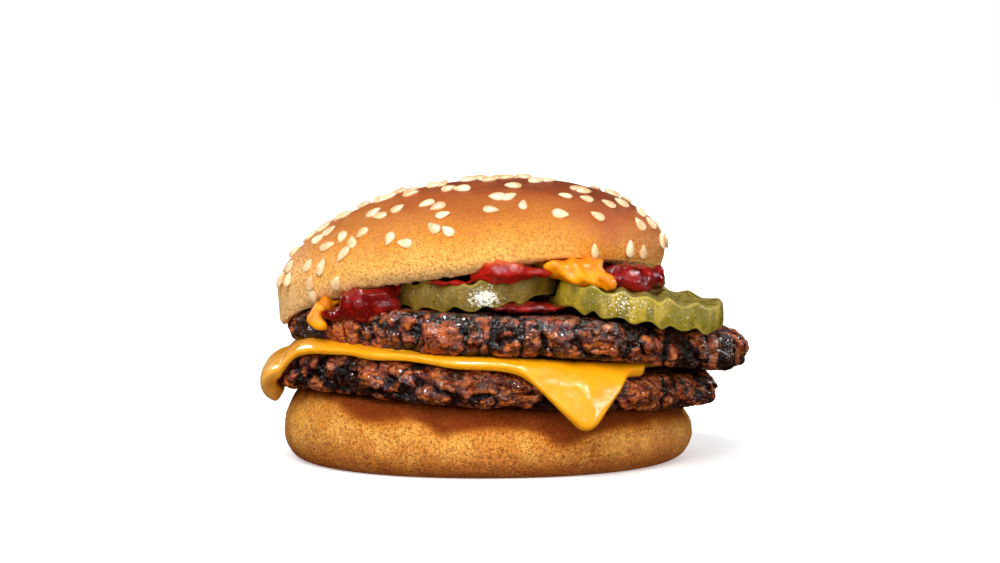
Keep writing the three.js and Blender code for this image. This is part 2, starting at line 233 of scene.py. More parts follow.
class Shader:
    """One material, built node by node."""

    def __init__(self, name):
        self.material = bpy.data.materials.new(name)
        self.material.use_nodes = True
        self.tree = self.material.node_tree
        self.tree.nodes.clear()
        self.place = self.node("TexCoord", output="Object")

    def node(self, kind, inputs=None, output=0, **settings):
        """Any node: its settings are set first and then the values or links of its sockets."""
        made = self.tree.nodes.new("ShaderNode" + kind)
        for key, value in settings.items():
            if key == "stops":
                while len(made.color_ramp.elements) < len(value):
                    made.color_ramp.elements.new(1)
                for element, (position, colour) in zip(made.color_ramp.elements, value):
                    element.position, element.color = position, (*colour, 1)
            else:
                setattr(made, key, value)
        for key, value in (inputs or {}).items():
            if isinstance(value, Socket):
                self.tree.links.new(value.output, made.inputs[key])
            else:
                made.inputs[key].default_value = value
        return Socket(self, made.outputs[output]) if made.outputs else made

    def coordinate(self, axis):
        """How far along X, Y or Z a place is, in metres."""
        return self.node("SeparateXYZ", {0: self.place}, axis)

    def mark(self, name):
        """A number that the mesh carries at its points."""
        return self.node("Attribute", output="Fac", attribute_name=name)

    def cloud(self, size, detail, rough=0.5, stretch=(1, 1, 1)):
        """Soft random pattern from 0 to 1, with patches about so many millimetres apart."""
        place = self.node("VectorMath", {0: self.place, 1: stretch}, operation="MULTIPLY")
        values = {"Vector": place, "Scale": 1 / (size * MM), "Detail": detail, "Roughness": rough}
        return self.node("TexNoise", values)

    def band(self, value, low, high):
        """0 below low, 1 above high and smooth between them, or the other way round."""
        ends = (low, high, 0.0, 1.0) if low < high else (high, low, 1.0, 0.0)
        return self.node("MapRange", dict(enumerate((value, *ends))), interpolation_type="SMOOTHSTEP")

    def blend(self, share, under, over, how="MIX"):
        """One colour over another."""
        colours = [c if isinstance(c, Socket) else (*c, 1) for c in (under, over)]
        values = {0: share, 6: colours[0], 7: colours[1]}
        return self.node("Mix", values, 2, data_type="RGBA", blend_type=how)

    def layers(self, base, *layers):
        """Colours over a base, in order: for each its share, the colour and, if not plainly, how it mixes."""
        for share, over, *how in layers:
            base = self.blend(share, base, over, *how)
        return base

    def ramp(self, value, *stops):
        return self.node("ValToRGB", {0: value}, stops=stops)

    def bump(self, height, depth):
        """Relief of a height from 0 to 1 that stands for so many millimetres."""
        return self.node("Bump", {"Height": height, "Distance": depth * MM, "Strength": 1.0})

    def finish(self, colour, roughness, normal=None, shine=0.5, soft=0.0, **constants):
        """The surface itself; all but its colour, roughness, normal and coat are the same all over it."""
        values = {"Base Color": colour, "Roughness": roughness, "Specular IOR Level": shine}
        values.update({"Subsurface Weight": soft, "Subsurface Scale": 0.001})
        if normal is not None:
            values["Normal"] = normal
        values.update({key.replace("_", " "): value for key, value in constants.items()})
        self.node("OutputMaterial", {"Surface": self.node("BsdfPrincipled", values)})
        return self.material


# --- driving dimensions
GAP = 0.35  # between the heel and the meat, and between the two pickle slices

# Points round each ring.
BUN_SPOKES = 640
MEAT_SPOKES = 840
CHEESE_SPOKES = 760
PICKLE_SPOKES = 440

HEEL = {
    "foot": 44.5,  # radius of the flat underside
    "bulge": 7,  # height of the widest place
    "side": [(50, 7), (49.6, 10.5), (48.4, 13.2), (46.6, 16.2), (44.4, 17.2), (42, 17.3)],  # radius, height
}
# Heights of the crown's lower edge, in even steps round it.
RIM = [45, 43.8, 42, 41, 39.8, 36.6, 32.3, 37.8, 43.7, 47.1, 50.3, 47.8]


def droop(x):
    """How far a place lies into the left end of the lower patty, where it droops and thins."""
    return np.minimum(11, past(-x, 38))


class Meat:
    """Outline and level of a patty: its edge's radius, its middle plane's height and half its thickness."""

    def __init__(self, name, x, seed, outline, plane, half):
        self.name, self.x, self.seed = name, x, seed
        self.outline, self.plane, self.half = outline, plane, half

    def top(self, x):
        return self.plane(x) + self.half(x)

    def bottom(self, x):
        return self.plane(x) - self.half(x)

    def crags(self, a, lift):
        """Broad lumps round the edge, between about -2 and 2."""
        p = self.seed
        broad = np.sin(13 * a + 2 * lift + p) + np.sin(21 * a - 3 * lift + 2 * p + 1)
        return 0.5 * broad + 0.45 * np.sin(34 * a + 5 * lift + 3 * p) + 0.3 * np.sin(5 * a + 4 * lift)


LOWER = Meat(
    "lower",
    x=2.8,
    seed=0,
    outline=lambda a: (
        52.6 + 0.9 * np.sin(3 * a + 0.6) + 0.6 * np.sin(7 * a + 2)
        + 2.2 * hump(a, 203, 13) - 1.2 * hump(a, 0, 20)
    ),
    plane=lambda x: 21.15 - 0.06 * x - 0.002 * past(x, 30) ** 2 - 0.031 * droop(x) ** 2,
    half=lambda x: 4.5 - 0.008 * x - 0.018 * droop(x) ** 2,
)
UPPER = Meat(
    "upper",
    x=7.5,
    seed=1.7,
    outline=lambda a: 55.2 + 0.7 * np.sin(4 * a + 1.1) + 0.6 * np.sin(9 * a),
    plane=lambda x: (
        33.6 - 0.03 * x - 0.0026 * past(x, 12) ** 2 + 0.018 * past(x, 54) ** 2 - 0.0102 * past(-x, 31) ** 2
    ),
    half=lambda x: 4.5 - 0.1 * past(-x, 32.5),
)


class Slice:
    """A round crinkle-cut slice that bends over what it lies on."""

    wave = 0.7  # depth of the crinkles

    def __init__(self, name, x, y, radius, thick, pitch, plane):
        self.name, self.x, self.y, self.radius = name, x, y, radius
        self.thick, self.pitch, self.plane = thick, pitch, plane

    def face(self, sign, x, y):
        uneven = 0.5 * np.sin(0.31 * x + sign) + 0.4 * np.sin(0.77 * x)
        depth = self.wave * (0.8 + 0.25 * np.sin(0.43 * x + 2 * sign))
        crinkle = depth * np.sin(TAU * (x - self.x + uneven) / self.pitch)
        return self.plane(x, y) + crinkle + sign * self.thick / 2


LEFT_SLICE = Slice(
    "left", x=-2.2, y=-24.8, radius=20.1, thick=6.2, pitch=6.25,
    plane=lambda x, y: 42.7 + 0.0045 * past(x, -12) ** 2 + 0.02 * y,
)
RIGHT_SLICE = Slice(
    "right", x=35.2, y=-29, radius=20.4, thick=6.1, pitch=5.85,
    plane=lambda x, y: 43.3 - 0.17 * past(x, 20) + 0.03 * y,
)

CROWN_X = -4.3  # middle of the crown at its waist
APEX_X, APEX_Z = 4, 68.2  # top of its dome

# Blobs of sauce pressed out past the crown: middle, and half extents across, in depth and upward.
KETCHUP_BLOBS = [
    (-28.4, -37.4, 38.6, 5.6, 4, 3.4), (-34.6, -34.4, 37.2, 4.4, 3.8, 1.7),
    (-23.6, -39.4, 39.6, 3.8, 3.2, 2.5), (-29.4, -39.6, 41.8, 1.7, 1.2, 1.9),
    (-25, -41.4, 42, 3.4, 0.9, 0.9), (-8.5, -42.5, 45, 5.5, 2.5, 0.8),
    (3.5, -42.4, 46.8, 7.4, 4, 2.1), (3.2, -45.4, 48.8, 6, 1.2, 1.3),
    (1.6, -45.8, 50, 3.6, 1, 1.7), (11, -43.2, 47.4, 5, 2.6, 1.1),
    (3.4, -44.9, 46.2, 5.2, 1.8, 1.5), (9, -40, 39.2, 9.5, 6.5, 1.4),
    (33.6, -32, 45.4, 7.6, 6, 3.6), (37.4, -28, 45, 5, 5.6, 3),
    (27.5, -36, 45.6, 5, 4, 2), (36, -36.6, 43.4, 2.6, 1.5, 1.2),
    (30, -37.2, 47.8, 2.4, 1.4, 1.4), (40, -29, 46.8, 2, 2.4, 1.8),
]
MUSTARD_BLOBS = [
    (-39.3, -33.3, 38, 1.8, 2.4, 1.6), (-39.8, -34.3, 36.3, 2, 2.2, 1.7),
    (-38.6, -35.2, 34.9, 1.6, 1.7, 1.4), (20.5, -40.5, 47.8, 7, 5, 3),
    (16, -42.5, 48.8, 3.4, 2.6, 1.6), (24, -42, 46, 4, 4, 2.2),
    (28.2, -43.5, 45.3, 1.7, 2.5, 2.2), (21, -44.5, 46.3, 3.2, 2, 1.4),
    (24.5, -39.5, 49.6, 3, 2.6, 1.4),
]


def waist(a):
    """Height of the crown's widest place."""
    return 46.9 + 2.5 * np.cos(a) - 2.2 * np.sin(a) - 1.9 * np.cos(2 * a)


def rim(a):
    return curve(RIM, a / TAU, closed=True)


def inset(a):
    """How far the crown's lower edge lies inside its widest place."""
    return 4.5 - 2.7 * hump(a, 180, 30, 4)


# --- settings
def length(name, description, default):
    return FloatProperty(name=name, description=description, default=default * MM, unit="LENGTH", precision=4)


def colour(name, description, default):
    default = rgb(default)
    return FloatVectorProperty(name=name, description=description, default=default, subtype="COLOR", size=3)


class BunSettings(bpy.types.PropertyGroup):
    heel_radius: length("Heel radius", "Radius of the bottom bun at its widest", 50)
    crown_radius: length("Crown radius", "Radius of the top bun at its widest", 47)
    top: colour("Top crust", "Crust where it is baked the most", "bd5806")
    side: colour("Side crust", "Crust half way down the crown", "e69222")
    edge: colour("Edge crust", "Pale crust at the crown's lower edge", "fdbc5e")
    crumb: colour("Heel crust", "Porous crust of the bottom bun", "e8983a")
    toasted: colour("Toasted crust", "Crust near the bottom bun's foot", "a84e14")
    # Darkest juice-soaked bread, which also stands for painted shade under the patty.
    stain: colour("Juice stain", "Bread that meat juice has soaked", "6e2410")


class MeatSettings(bpy.types.PropertyGroup):
    grain: length("Grain", "Distance between lumps of minced meat", 4.8)
    relief: length("Relief", "How deep the creases between the lumps are", 1.65)
    lean: colour("Lean meat", "Red-brown cooked meat", "8e3315")
    # Lighter crests: partly dry seared meat, partly painted light on the lumps.
    crest: colour("Crests", "Dry crests of the lumps", "d4722c")
    # Also used for the painted shade on the patties' undersides.
    char: colour("Char", "Charred meat", "240a04")


class CheeseSettings(bpy.types.PropertyGroup):
    thickness: length("Thickness", "Thickness of the slice", 2.5)
    body: colour("Cheese", "Melted cheese", "fcaa0c")
    deep: colour("Deep cheese", "Cheese where it is thick or shaded", "fba007")


class PickleSettings(bpy.types.PropertyGroup):
    peel: colour("Peel", "Olive outer side of a slice", "b0941e")
    flesh: colour("Flesh", "Pale cut edge of a slice", "c6b23c")


class SauceSettings(bpy.types.PropertyGroup):
    ketchup: colour("Ketchup", "Tomato sauce", "b01a10")
    mustard: colour("Mustard", "Mustard sauce", "fa9e02")


class SeedSettings(bpy.types.PropertyGroup):
    length: length("Length", "Length of a sesame seed", 4)
    width: length("Width", "Width of a sesame seed", 2.45)
    thickness: length("Thickness", "Thickness of a sesame seed", 1.15)
    scattered: IntProperty(name="Scattered seeds", description="Seeds on the top and back", default=64)
    hull: colour("Hull", "Ivory hull of a seed", "f3d8aa")


class StageSettings(bpy.types.PropertyGroup):
    distance: length("Camera distance", "From the camera to the point it looks at", 750)
    elevation: FloatProperty(
        name="Camera elevation",
        description="Angle of the view above the horizon",
        default=math.radians(3.5),
        subtype="ANGLE",
    )
    lens: FloatProperty(name="Lens", description="Focal length in millimetres", default=110.4)
    key: FloatProperty(name="Key light", description="Strength of the broad front light", default=2.35)
    fill: FloatProperty(name="Fill light", description="Strength of the low fill lights", default=1.9)
    sparkle: FloatProperty(name="Sparkle", description="Power of the small lights", default=2, unit="POWER")


SETTINGS = {
    "bun": BunSettings,
    "meat": MeatSettings,
    "cheese": CheeseSettings,
    "pickle": PickleSettings,
    "sauce": SauceSettings,
    "seed": SeedSettings,
    "stage": StageSettings,
}


def settings(context, kind):
    return getattr(context.scene, "burger_" + kind)


# --- bread
def heel_rings(radius):
    a = circle(BUN_SPOKES)
    lift = np.linspace(0, math.pi / 2, 26)
    foot = np.stack(
        [HEEL["foot"] + (radius - HEEL["foot"]) * np.sin(lift), HEEL["bulge"] * (1 - np.cos(lift))], axis=-1
    )
    side = curve(HEEL["side"], np.linspace(0, 1, 52)[1:])
    top_radius, top = HEEL["side"][-1]
    under = [(HEEL["foot"] * share, 0) for share in (0.3, 0.7, 0.9, 0.96)]
    over = [(top_radius * share, top) for share in (0.97, 0.9, 0.75, 0.4)]
    profile = np.concatenate([under, foot, side, over])
    r = profile[:, :1] * (1 + 0.006 * np.sin(3 * a + 1) + 0.004 * np.sin(5 * a))
    x, y = r * np.cos(a), r * np.sin(a)
    bed = LOWER.bottom(x) - GAP
    z = profile[:, 1:] * (1 + (bed / top - 1) * (profile[:, 1:] / top))
    rings = xyz(x, y, z)
    soft = 0.35 * ripple(rings, 15, 3) + 0.14 * ripple(rings, 4.5, 4)
    pits = smooth(0.34, 0.05, grains(rings, 1.25, 7)) * smooth(0.1, 0.7, ripple(rings, 3, 5) + 0.5)
    relief = soft - 0.17 * pits + 0.07 * ripple(rings, 0.9, 6)
    free = smooth(0.2, 3, z) * smooth(38, 43, r)
    return rings + facing(rings) * (relief * free)[..., None]


def heel_stain(rings):
    """How much meat juice has soaked the heel, with painted shade in it: a band under the patty with broad
    runs below it.
    """
    a = np.arctan2(rings[..., 1], rings[..., 0])
    # One run, at 292°, is a painted shadow of the cheese's front corner.
    runs = 4.6 * hump(a, 258, 6) + 5.2 * hump(a, 292, 8) + 2 * hump(a, 235, 9)
    uneven = 0.7 * ripple(rings, 4, 21) + 1.2 * ripple(rings, 14, 22)
    edge = LOWER.bottom(rings[..., 0]) - 3.2 - runs + uneven
    return smooth(-2.6, 2.8, rings[..., 2] - edge)


class BURGER_OT_heel(bpy.types.Operator):
    """Bakes the bottom bun"""

    bl_idname = "burger.heel"
    bl_label = "Bottom Bun"

    def execute(self, context):
        bun = settings(context, "bun")
        rings = heel_rings(bun.heel_radius / MM)
        skin("bottom_bun", rings, "bun_crust", ["bun_heel"], self.crust(bun), stain=heel_stain(rings))
        return {"FINISHED"}

    @staticmethod
    def crust(bun):
        s = Shader("porous_crust")
        stain = s.mark("stain")
        speck = s.cloud(0.65, 4, 0.7)
        grit = s.cloud(0.34, 3, 0.65)
        patch = s.cloud(6, 4, 0.6)
        base = s.layers(
            bun.crumb,
            (s.band(patch, 0.45, 0.6) * 0.8, rgb("fdb650")),  # golden patches
            (s.band(s.coordinate("Z") + 0.004 * patch, 0.013, 0.001) * 0.9, bun.toasted),
            (s.band(speck, 0.5, 0.6), (1.3, 1.4, 1.5), "MULTIPLY"),
            (s.band(speck, 0.49, 0.38), (0.55, 0.4, 0.3), "MULTIPLY"),
            (s.band(grit, 0.46, 0.36), (0.5, 0.36, 0.28), "MULTIPLY"),
            # Juice-soaked bread, darkened further with painted shade under the patty.
            (stain, (0.74, 0.46, 0.34), "MULTIPLY"),
            (s.band(stain + 0.6 * (speck - 0.5), 0.45, 1.0) * 0.8, bun.stain),
        )
        normal = s.bump(speck + 0.7 * grit, 0.62)
        return s.finish(base, s.band(stain, 1.2, -1.6), normal, shine=0.15, soft=0.08)


def crown_rings(radius):
    """The crown's rings, and how far up each point is: -1 below the rim, 0 at the waist and 1 at the apex,
    raised on the lower right, where the crust is drawn darker.
    """
    a = circle(BUN_SPOKES)
    shares = np.array([0.2, 0.5, 0.75, 0.85, 0.92, 0.97])[:, None]
    r = (radius - inset(a)) * shares
    z = mix(52, rim(a), smooth(0.7, 1, shares))
    below = xyz(CROWN_X + r * np.cos(a), r * np.sin(a), z)
    t = np.linspace(math.pi / 2, 0, 24, endpoint=False)[:, None]
    r = radius - inset(a) * (1 - np.cos(t))
    z = mix(waist(a), rim(a), np.sin(t))
    rounded = xyz(CROWN_X + r * np.cos(a), r * np.sin(a), z)
    h = np.linspace(0, math.pi / 2, 84, endpoint=False)[:, None]
    x = mix(CROWN_X, APEX_X, np.sin(h)) + radius * np.cos(h) * np.cos(a)
    dome = xyz(x, radius * np.cos(h) * np.sin(a), mix(waist(a), APEX_Z, np.sin(h)))
    rings = np.concatenate([below, rounded, dome])
    level = np.concatenate([np.full(len(below), -1.0), -np.sin(t[:, 0]), np.sin(h[:, 0])])[:, None]
    # Darker crust on the lower right.
    browned = level + 0.3 * smooth(12, 34, rings[..., 0]) * smooth(-0.6, 0.3, level)
    relief = 0.3 * ripple(rings, 19, 31) + 0.06 * ripple(rings, 3.5, 32)
    crumbly = smooth(-0.45, -0.95, level)
    relief = relief + crumbly * (0.3 * ripple(rings, 1.6, 33) + 0.2 * ripple(rings, 0.8, 34))
    return rings + facing(rings) * relief[..., None], browned


class BURGER_OT_crown(bpy.types.Operator):
    """Bakes the top bun"""

    bl_idname = "burger.crown"
    bl_label = "Top Bun"

    def execute(self, context):
        bun = settings(context, "bun")
        rings, level = crown_rings(bun.crown_radius / MM)
        off = np.abs(rings[..., 0] - CROWN_X)
        # Painted sheen: light flecks along the crown's left and right sides.
        flecked = smooth(32, 45, off + 6 * ripple(rings, 12, 36)) * smooth(0.8, 0.2, level)
        skin("top_bun", rings, "bun_crust", ["bun_crown"], self.crust(bun), level=level, flecked=flecked)
        return {"FINISHED"}

    @staticmethod
    def crust(bun):
        s = Shader("golden_crust")
        level = s.mark("level") + (s.cloud(13, 3, 0.55) - 0.5) * 0.5
        speck = s.cloud(0.6, 4, 0.7)
        grit = s.cloud(0.33, 3, 0.65)
        under, apex = rgb("ffd08a"), rgb("963c04")
        stops = (0.0, under), (0.42, bun.edge), (0.64, bun.side), (0.9, bun.top), (0.99, apex)
        plain = s.band(level, 0.9, 0.1)
        flecked = s.mark("flecked") * s.band(speck + 0.5 * (grit - 0.5), 0.5, 0.6)
        base = s.layers(
            s.ramp(level * 0.5 + 0.5, *stops),
            # painted sheen along the sides
            (flecked * 0.6, rgb("ffdba8")),
            (s.band(speck, 0.5, 0.6) * (0.4 + 0.6 * plain), (1.25, 1.35, 1.4), "MULTIPLY"),
            (s.band(speck, 0.48, 0.38) * (0.4 + 0.5 * plain), (0.68, 0.45, 0.3), "MULTIPLY"),
            (s.band(grit, 0.46, 0.38) * (0.3 + 0.6 * plain), (0.62, 0.38, 0.25), "MULTIPLY"),
        )
        normal = s.bump(speck + 0.6 * grit, 0.32)
        return s.finish(base, 0.32 + 0.25 * s.cloud(1.1, 3, 0.6), normal, shine=0.16, soft=0.08)


# --- meat
GRILL_PITCH = 16.8  # between the charred bars


def lumps(points, size, seed):
    """Rounded lumps about so many millimetres apart, from 0 in the creases between them to 1."""
    return np.minimum(1, 2.4 * np.abs(ripple(points, size, seed))) ** 0.75


def patty_rings(meat, grain, relief):
    """A patty's rings, and how deep in a crease each point is and how dark it is painted: charred meat, and
    painted shade on the underside.
    """
    a = circle(MEAT_SPOKES)
    faces = np.array([0.1, 0.3, 0.5, 0.64, 0.74, 0.8, 0.84, 0.87, 0.9, 0.92, 0.94, 0.955, 0.97, 0.985])
    lift = np.radians(np.linspace(-90, 90, 46))
    flat = np.full(len(faces), math.pi / 2)
    lifts = np.concatenate([-flat, lift, flat])[:, None]
    shares = np.concatenate([faces, np.ones(len(lift)), faces[::-1]])[:, None]
    edge = meat.half(meat.x + meat.outline(a) * np.cos(a))
    bump = 0.7 * meat.crags(a, lifts) * np.cos(lifts)
    r = (meat.outline(a) - edge) * shares + (edge + bump) * np.cos(lifts)
    x = meat.x + r * np.cos(a)
    z = meat.plane(x) + (meat.half(x) + 0.35 * bump) * np.sin(lifts)
    if meat is UPPER:  # its lower lip hangs over the cheese on the left
        z = z - 1.2 * hump(a, 236, 24, 4) * np.where(shares < 1, 0, smooth(0.1, -0.7, np.sin(lifts)))
    rings = xyz(x, r * np.sin(a), z)

    seed = int(10 * meat.seed)
    large = lumps(warped(rings * (1, 1, 0.6), 5, 1.8, seed), grain, seed + 3)
    small = lumps(warped(rings, 2.4, 0.8, seed + 5), 0.48 * grain, seed + 9)
    crumbs = lumps(rings, 0.24 * grain, seed + 12)
    height = large - 0.75 + 0.5 * (small - 0.6) + 0.22 * (crumbs - 0.5) + 0.5 * ripple(rings, 8, seed + 15)
    crease = 1.25 * height * (0.25 + 0.75 * np.cos(lifts))
    height = relief * np.where(height > 0, height * np.cos(lifts), crease)
    deep = 1 - (0.5 * large + 0.32 * small + 0.18 * crumbs)

    across = rings[..., 0] + 0.25 * rings[..., 1] + 13 + meat.seed
    bars = np.cos(TAU * across / GRILL_PITCH + 0.6 * ripple(rings, 9, seed + 17))
    burnt = 0.4 * smooth(0.6, 0.97, bars) + 0.25 * smooth(0.85, 1, np.abs(np.sin(lifts)))
    # Painted shade on the underside, and char towards the right end.
    burnt = burnt + 0.3 * smooth(0.0, -0.6, np.sin(lifts)) + 0.25 * smooth(35, 52, rings[..., 0])
    burnt = burnt + 0.8 * ripple(rings, 6.5, seed + 18) + 0.4 * ripple(rings, 2.4, seed + 19)
    rings = rings + facing(rings) * height[..., None]
    return rings, deep, np.clip(burnt, 0, 1)


def meat_finish(name, meat):
    s = Shader(name)
    deep, burnt = s.mark("deep"), s.mark("burnt")
    patch = s.cloud(5, 3, 0.6)
    speck = s.cloud(1.2, 4, 0.68)
    grit = s.cloud(0.4, 3, 0.65)
    fibre = s.cloud(1.6, 4, 0.68, (0.5, 0.5, 1.2))
    raised = s.band(deep, 0.5, 0.2)
    base = s.layers(
        rgb("480f09"),  # dark lean meat
        (s.band(patch, 0.44, 0.58), meat.lean),
        # Lighter crests, partly painted light on the lumps.
        (s.band(fibre, 0.42, 0.66) * raised * 0.85, meat.crest),
        (s.band(grit, 0.6, 0.7) * raised * 0.6, rgb("fbb67c")),  # flecks of fat, partly painted glints on the crests
        (s.band(speck, 0.5, 0.36) * 0.8, rgb("230703")),  # pores
        (s.band(deep, 0.25, 0.5) * 0.97, rgb("0e0201")),  # painted shade in the creases
        # Char, and painted shade on the underside.
        (s.band(burnt + 0.8 * (speck - 0.5), 0.5, 0.72) * 0.92, meat.char),
    )
    wet = s.band(s.cloud(1.8, 3, 0.55), 0.42, 0.54)
    fat = s.band(s.cloud(0.8, 3, 0.65), 0.54, 0.6)
    normal = s.bump(s.cloud(1.5, 2) + 0.15 * speck + 0.1 * fibre, 1.3)
    return s.finish(base, 0.8 - 0.67 * wet, normal, shine=0.38, Coat_Weight=fat, Coat_Roughness=0.08)


class BURGER_OT_patties(bpy.types.Operator):
    """Grills the two patties"""

    bl_idname = "burger.patties"
    bl_label = "Patties"

    def execute(self, context):
        meat = settings(context, "meat")
        for patty in (LOWER, UPPER):
            rings, deep, burnt = patty_rings(patty, meat.grain / MM, meat.relief / MM)
            name = patty.name + "_patty"
            finish = meat_finish(name + "_meat", meat)
            skin(name, rings, "patty", ["patty_" + patty.name], finish, deep=deep, burnt=burnt)
        return {"FINISHED"}


# --- cheese
CHEESE_LIFT = 0.6  # above the lower patty
CHEESE_TUCKED = 42  # radius at the right, where the slice ends between the patties
CHEESE_BEND = 5.2  # radius of the bend over the patty's edge
CHEESE_CLEAR = 2.9  # from the patty's outline to a hanging corner
CHEESE_EDGE = 1.3  # how far in its rounded edge reaches
CHEESE_FALL = math.radians(76)
CHEESE_CORNERS = [  # direction, drop, width in degrees of the flanks clockwise and anticlockwise, roundness
    (289.8, 11.9, 12.4, 11.2, 0.14),
    (186, 7.8, 34, 15, 0.45),
    (98, 8, 22, 18, 0.4),
]


def corner_share(a, at, clockwise, anticlockwise, round_off):
    """Height from 0 to 1 of a corner's hanging part: two straight flanks with a rounded tip."""
    off = np.degrees(turn(a, math.radians(at)))
    off = np.abs(off) / np.where(off < 0, clockwise, anticlockwise)
    left = 1 + round_off - np.hypot(off, round_off)
    return (left + np.hypot(left, 0.25)) / (1 + math.hypot(1, 0.25))


def curl(a):
    """How much the left corner curls in under the patty's edge, from 0 to 1."""
    return hump(a, 182, 19, 4)


def bend_radius(a):
    return CHEESE_BEND - 1.1 * curl(a)


def steepest(a):
    """How far below level the slice can turn."""
    return mix(CHEESE_FALL, math.radians(150), curl(a))


def slice_radius(a):
    """Radius of the slice before it was draped: the further it hangs, the longer it is."""
    sag = 0.7 + 0.35 * np.cos(7 * (a - math.radians(270))) + 0.2 * np.sin(17 * a)
    corners = sum(deep * corner_share(a, at, *flanks) for at, deep, *flanks in CHEESE_CORNERS)
    drop = np.hypot(sag, corners)
    bend, fall = bend_radius(a), steepest(a)
    curved = bend * (1 - np.cos(fall))
    bent = bend * np.arccos(1 - np.minimum(drop, curved) / bend)
    hanging = LOWER.outline(a) + CHEESE_CLEAR - bend + bent + past(drop, curved) / np.sin(fall)
    return mix(CHEESE_TUCKED, hanging, smooth(38, 52, np.degrees(np.abs(turn(a, 0)))))


def draped(a, flat, above):
    """Points of the slice at a distance from its middle when flat, and so far above its lower face."""
    radius, fall = bend_radius(a), steepest(a)
    start = LOWER.outline(a) + CHEESE_CLEAR - radius
    bend = np.minimum(fall, past(flat, start) / radius)
    hang = past(flat, start + radius * fall)
    r = np.minimum(flat, start) + (radius + above) * np.sin(bend) + hang * np.cos(fall)
    x = LOWER.x + r * np.cos(a)
    drop = radius * (1 - np.cos(bend)) + hang * np.sin(fall)
    z = LOWER.top(x) + CHEESE_LIFT - drop + above * np.cos(bend)
    return xyz(x, r * np.sin(a), z)


def cheese_rings(thick):
    """The slice's rings, closer together at its corners, and how much painted highlight each point of the
    curled corner carries.
    """
    fine = circle(4000)
    crowd = 1 + 2.6 * np.max([deep / 12 * hump(fine, at, 10) for at, deep, *_ in CHEESE_CORNERS], axis=0)
    share = np.cumsum(crowd) / crowd.sum()
    a = np.interp(np.arange(CHEESE_SPOKES) / CHEESE_SPOKES, share, fine)
    reach = slice_radius(a)
    inner = np.array([0.2, 0.5, 0.72, 0.8])[:, None] * reach
    start = reach * 0.82
    outer = start + (reach - CHEESE_EDGE - start) * np.linspace(0, 1, 30)[:, None]
    t = np.linspace(0, math.pi, 15)[1:-1, None]
    edge = reach - CHEESE_EDGE + CHEESE_EDGE * np.sin(t) ** 0.6
    flats = np.concatenate([inner, outer, edge, outer[::-1], inner[::-1]])
    across = -np.sign(np.cos(t[:, 0])) * np.abs(np.cos(t[:, 0])) ** 0.6
    face = np.ones(len(inner) + len(outer))
    swell = np.concatenate([-face, across, face])[:, None]
    x = LOWER.x + flats * np.cos(a)
    room = UPPER.bottom(x) - LOWER.top(x) - CHEESE_LIFT
    lip = 1 + 0.12 * smooth(47, 51, flats) * smooth(56, 53, flats)
    lip = lip - 0.4 * hump(a, 236, 22, 4) * smooth(48, 52, flats)
    thickness = mix(np.minimum(thick, room), thick * lip, smooth(46, 50, flats))
    inward = 1.6 * curl(a) * smooth(53, 57, flats)
    rings = draped(a, flats, thickness * (0.5 + 0.5 * swell) - inward * (0.5 - 0.5 * swell))
    sag = 0.2 * ripple(rings, 9, 41) + 0.1 * ripple(rings, 3.5, 42)
    sag = sag + 1.1 * hump(a, CHEESE_CORNERS[0][0] + 1.2, 3.6) * smooth(53, 60, flats)
    # Painted highlight on the outer face of the curled left corner.
    pale = curl(a) * smooth(52, 57, flats) * (0.5 + 0.5 * swell)
    return rings + facing(rings) * (sag * smooth(44, 50, flats))[..., None], pale


class BURGER_OT_cheese(bpy.types.Operator):
    """Melts the cheese slice over the lower patty"""

    bl_idname = "burger.cheese"
    bl_label = "Cheese"

    def execute(self, context):
        cheese = settings(context, "cheese")
        rings, pale = cheese_rings(cheese.thickness / MM)
        skin("melted_cheese", rings, "cheese", ["cheese_slice"], self.melted(cheese), pale=pale)
        return {"FINISHED"}

    @staticmethod
    def melted(cheese):
        s = Shader("melted_cheese")
        base = s.layers(
            cheese.body,
            (s.band(s.cloud(6, 2), 0.35, 0.7), cheese.deep),
            # painted highlight on the curled left corner
            (s.mark("pale") * 0.45, rgb("ffdf9c")),
        )
        inside = {"soft": 0.25, "Subsurface_Scale": 0.002, "Subsurface_Radius": (1, 0.6, 0.2)}
        normal = s.bump(s.cloud(1.8, 2, 0.4), 0.15)
        return s.finish(base, 0.2 + 0.16 * s.cloud(2.5, 2), normal, shine=0.4, **inside)


# --- pickles
def pressed(own, x, y):
    """Upper face of the right slice, pressed down where the left one lies on it."""
    height = own.face(1, x, y)
    over = past(LEFT_SLICE.radius + 3.5, np.hypot(x - LEFT_SLICE.x, y - LEFT_SLICE.y))
    under = LEFT_SLICE.plane(x, y) - LEFT_SLICE.wave - LEFT_SLICE.thick / 2 - GAP
    return np.minimum(height, mix(height, under, smooth(0, 2.4, over)))


